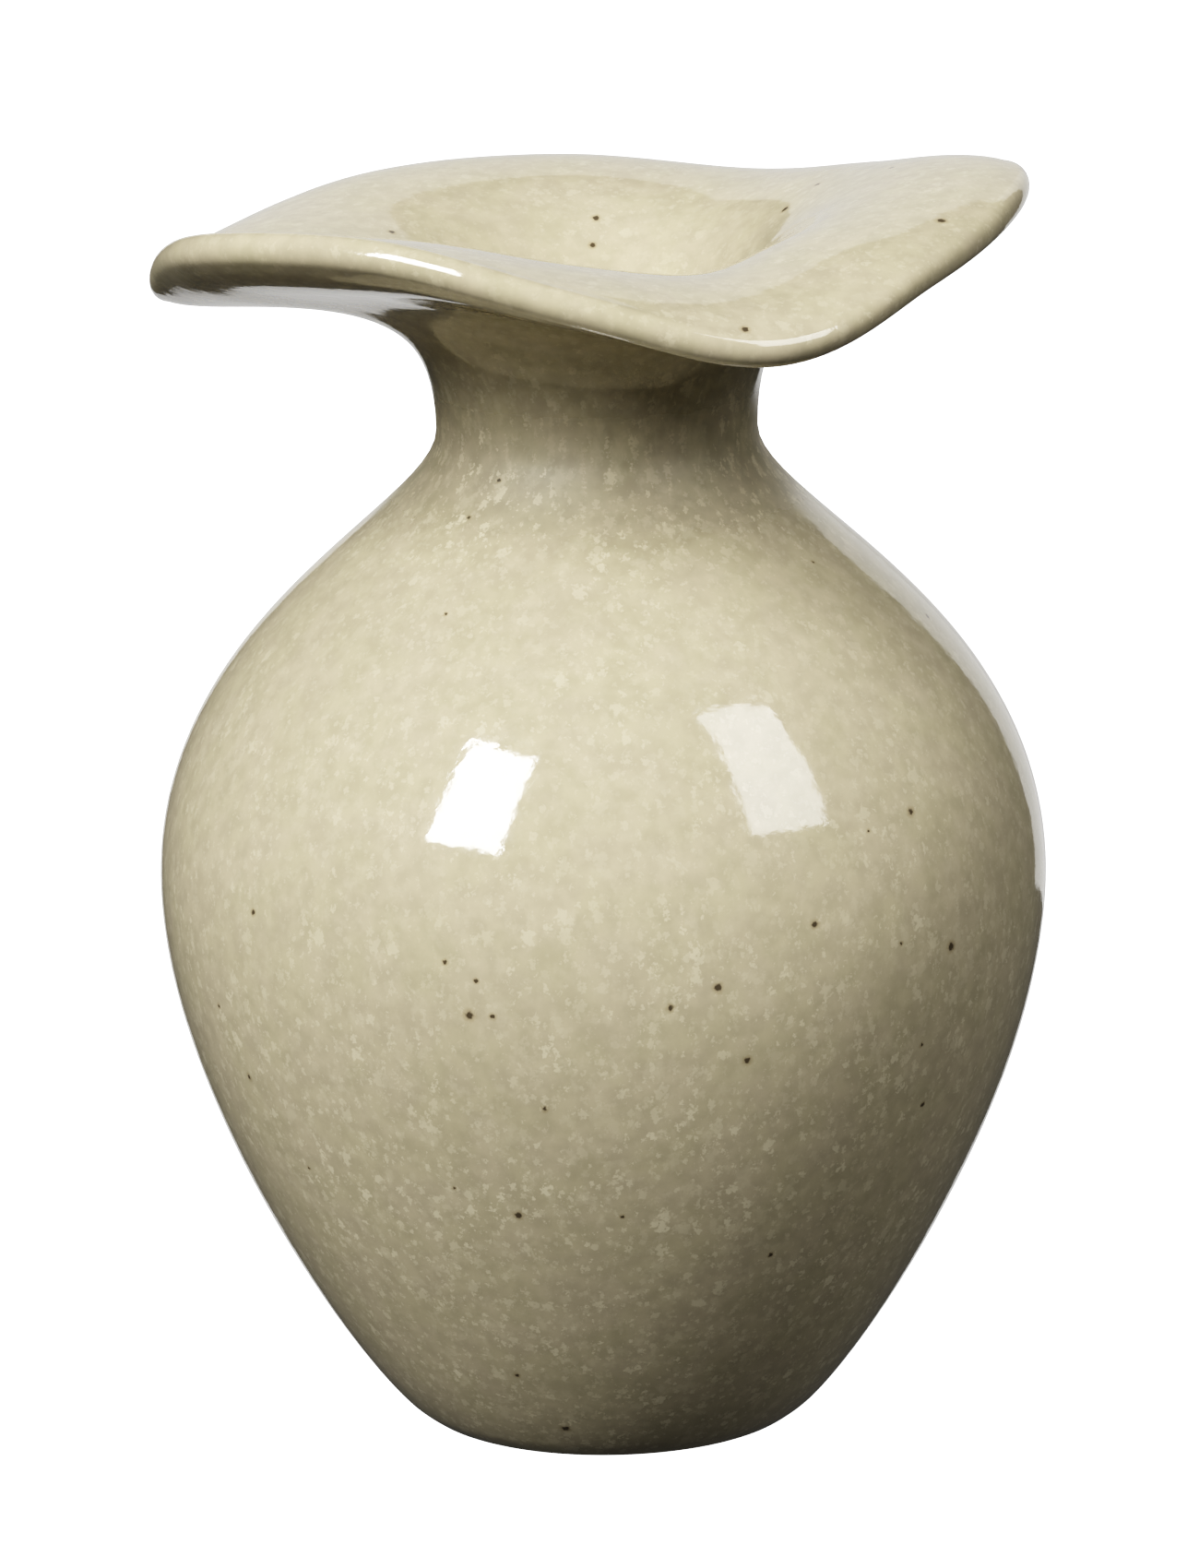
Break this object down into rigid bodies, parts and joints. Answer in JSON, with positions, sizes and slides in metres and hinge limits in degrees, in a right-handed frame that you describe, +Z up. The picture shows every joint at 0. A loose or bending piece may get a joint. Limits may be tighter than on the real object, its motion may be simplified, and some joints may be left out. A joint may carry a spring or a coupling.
{
  "type": "ceramic bud vase",
  "caption": "Round-bellied stoneware bud vase with a narrow neck, a wide ruffled rim and a glossy speckled glaze over a turned foot.",
  "frame": {"origin": "middle of the foot ring, on the surface the vase stands on", "axes": "+Z up along the axis of the body, front of the vase towards -Y"},
  "size_m": [0.104, 0.1053, 0.1497],
  "materials": {
    "stoneware": "bare fired stoneware, fine grained and matt",
    "glaze": "glossy olive-cream glaze with dense pale specks and scattered dark iron specks"
  },
  "bodies": {
    "root": {"foot_ring": "stoneware", "floor_disc": "stoneware", "lower_wall": "stoneware", "shoulder_wall": "stoneware", "neck_collar": "stoneware", "ruffled_rim": "stoneware", "outer_glaze": "glaze", "liner_glaze": "glaze"}
  },
  "joints": []
}
